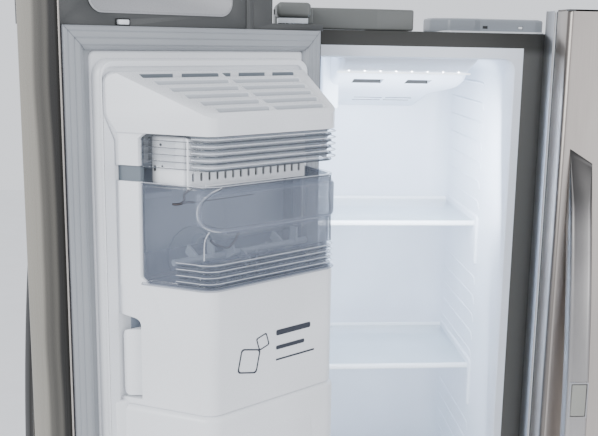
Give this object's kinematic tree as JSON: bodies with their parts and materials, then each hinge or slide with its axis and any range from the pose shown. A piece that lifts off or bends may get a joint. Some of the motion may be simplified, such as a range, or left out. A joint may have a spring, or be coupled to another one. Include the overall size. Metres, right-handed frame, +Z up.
{
  "type": "side by side refrigerator",
  "caption": "Free-standing side by side refrigerator with a freezer door that carries the ice maker, a door-in-door fridge side, bowed bar handles and a through-door dispenser.",
  "frame": {"origin": "on the floor, midway between the cabinet's sides, in the plane of the cabinet's front face", "axes": "+X to the viewer's right, +Y to the back, +Z up"},
  "size_m": [1.2468, 0.9828, 1.7815],
  "materials": {
    "case_grey": "painted sheet steel",
    "stainless": "brushed vertically, satin",
    "handle_metal": "satin, brushed along its length",
    "dark_plastic": "fine moulded grain",
    "grey_plastic": "fine moulded grain",
    "white_plastic": "smooth moulded liner",
    "clear_plastic": "clear moulded",
    "glass": "tempered sheet glass",
    "gasket_grey": "soft extruded vinyl",
    "foam": "rigid insulating foam",
    "zinc_steel": "zinc plated steel",
    "black_steel": "black enamel",
    "aluminium": "mill finish",
    "back_steel": "galvanised sheet"
  },
  "bodies": {
    "cabinet": {"base_frame": "black_steel", "cabinet_foam": "foam", "compressor": "black_steel", "condenser_coil": "black_steel", "control_cover": "grey_plastic", "evaporator_coil": "aluminium", "evaporator_cover": "white_plastic", "fan_motors": "zinc_steel", "freezer_duct_cover": "white_plastic", "freezer_liner": "white_plastic", "freezer_shelf_frames": "white_plastic", "freezer_shelf_glass": "glass", "fridge_duct_and_lamp": "white_plastic", "fridge_liner": "white_plastic", "fridge_shelves": "glass", "front_face_frame": "case_grey", "hinge_covers": "grey_plastic", "kick_plate": "grey_plastic", "lower_hinges": "zinc_steel", "outer_case": "case_grey", "power_cord_gland": "dark_plastic", "rear_covers": "back_steel", "upper_hinges": "zinc_steel", "water_valve": "zinc_steel"},
    "freezer_door": {"freezer_door_skin": "stainless", "freezer_door_caps": "grey_plastic", "freezer_door_foam": "foam", "freezer_door_liner": "white_plastic", "freezer_door_gasket": "gasket_grey", "freezer_door_handle": "handle_metal", "freezer_door_baskets": "clear_plastic", "ice_room_housing": "white_plastic", "ice_room_clear_strip": "clear_plastic", "ice_maker": "white_plastic", "dispenser_housing": "dark_plastic"},
    "fridge_door": {"fridge_inner_door": "white_plastic", "fridge_door_gasket": "gasket_grey", "fridge_door_baskets": "clear_plastic"},
    "outer_door": {"outer_door_skin": "stainless", "outer_door_panel": "dark_plastic", "outer_door_gasket": "gasket_grey", "outer_door_handle": "handle_metal"},
    "outer_door_button": {"outer_door_button": "grey_plastic"},
    "freezer_drawer_lower": {"freezer_drawer_lower": "clear_plastic"},
    "freezer_drawer_upper": {"freezer_drawer_upper": "clear_plastic"},
    "crisper_lower": {"crisper_lower": "clear_plastic"},
    "crisper_upper": {"crisper_upper": "clear_plastic"},
    "ice_bin": {"ice_bin": "clear_plastic", "ice_bin_cover": "white_plastic"},
    "ice_auger": {"ice_auger": "zinc_steel"},
    "ice_ejector": {"ice_ejector": "white_plastic"},
    "ice_shut_off_arm": {"ice_shut_off_arm": "zinc_steel"},
    "dispenser_paddle": {"dispenser_paddle": "dark_plastic"},
    "drip_tray": {"drip_tray": "dark_plastic"},
    "evaporator_fan": {"evaporator_fan": "dark_plastic"},
    "condenser_fan": {"condenser_fan": "dark_plastic"},
    "rear_roller_left": {"rear_roller_left": "dark_plastic"},
    "rear_roller_right": {"rear_roller_right": "dark_plastic"},
    "levelling_leg_left": {"levelling_leg_left": "zinc_steel"},
    "levelling_leg_right": {"levelling_leg_right": "zinc_steel"}
  },
  "joints": [
    {"name": "freezer_door_swing", "type": "hinge", "parent": "cabinet", "child": "freezer_door", "pos_m": [-0.4355, -0.057, 0.9], "axis": [0, 0, -1], "range_deg": [-141.94, 6]},
    {"name": "fridge_door_swing", "type": "hinge", "parent": "cabinet", "child": "fridge_door", "pos_m": [0.4355, -0.057, 0.9], "axis": [0, 0, 1], "range_deg": [0, 143]},
    {"name": "outer_door_swing", "type": "hinge", "parent": "fridge_door", "child": "outer_door", "pos_m": [0.441, -0.0865, 0.9], "axis": [0, 0, -1], "range_deg": [-112, 0]},
    {"name": "outer_door_button_press", "type": "slide", "parent": "outer_door", "child": "outer_door_button", "axis": [0, 1, 0], "range_m": [0, 0.003], "stiffness_N_per_m": 600},
    {"name": "freezer_drawer_lower_slide", "type": "slide", "parent": "cabinet", "child": "freezer_drawer_lower", "axis": [0, -1, 0], "range_m": [0, 0.28]},
    {"name": "freezer_drawer_upper_slide", "type": "slide", "parent": "cabinet", "child": "freezer_drawer_upper", "axis": [0, -1, 0], "range_m": [0, 0.28]},
    {"name": "crisper_lower_slide", "type": "slide", "parent": "cabinet", "child": "crisper_lower", "axis": [0, -1, 0], "range_m": [0, 0.09]},
    {"name": "crisper_upper_slide", "type": "slide", "parent": "cabinet", "child": "crisper_upper", "axis": [0, -1, 0], "range_m": [0, 0.09]},
    {"name": "ice_bin_slide", "type": "slide", "parent": "freezer_door", "child": "ice_bin", "axis": [0.6165, -0.7874, 0], "range_m": [0, 0.12]},
    {"name": "ice_auger_spin", "type": "hinge", "parent": "ice_bin", "child": "ice_auger", "pos_m": [-0.49846, -0.25235, 1.473], "axis": [-0.7874, -0.6165, 0], "continuous": true},
    {"name": "ice_ejector_spin", "type": "hinge", "parent": "freezer_door", "child": "ice_ejector", "pos_m": [-0.50818, -0.25615, 1.599], "axis": [-0.7874, -0.6165, 0], "continuous": true},
    {"name": "ice_shut_off_arm_swing", "type": "hinge", "parent": "freezer_door", "child": "ice_shut_off_arm", "pos_m": [-0.4981, -0.29335, 1.5655], "axis": [0.7874, 0.6165, 0], "range_deg": [0, 25]},
    {"name": "dispenser_paddle_swing", "type": "hinge", "parent": "freezer_door", "child": "dispenser_paddle", "pos_m": [-0.59373, -0.16311, 1.16], "axis": [0.7874, 0.6165, 0], "range_deg": [0, 9], "stiffness_Nm_per_rad": 0.3},
    {"name": "drip_tray_slide", "type": "slide", "parent": "freezer_door", "child": "drip_tray", "axis": [-0.6165, 0.7874, 0], "range_m": [0, 0.03]},
    {"name": "evaporator_fan_spin", "type": "hinge", "parent": "cabinet", "child": "evaporator_fan", "pos_m": [-0.256, 0.483, 0.9], "axis": [0, 1, 0], "continuous": true},
    {"name": "condenser_fan_spin", "type": "hinge", "parent": "cabinet", "child": "condenser_fan", "pos_m": [0.125, 0.505, 0.205], "axis": [1, 0, 0], "continuous": true},
    {"name": "rear_roller_left_roll", "type": "hinge", "parent": "cabinet", "child": "rear_roller_left", "pos_m": [-0.417, 0.56, 0.02], "axis": [1, 0, 0], "continuous": true},
    {"name": "levelling_leg_left_turn", "type": "hinge", "parent": "cabinet", "child": "levelling_leg_left", "pos_m": [-0.417, 0.06, 0.02], "axis": [0, 0, 1], "continuous": true},
    {"name": "rear_roller_right_roll", "type": "hinge", "parent": "cabinet", "child": "rear_roller_right", "pos_m": [0.417, 0.56, 0.02], "axis": [1, 0, 0], "continuous": true},
    {"name": "levelling_leg_right_turn", "type": "hinge", "parent": "cabinet", "child": "levelling_leg_right", "pos_m": [0.417, 0.06, 0.02], "axis": [0, 0, 1], "continuous": true}
  ]
}
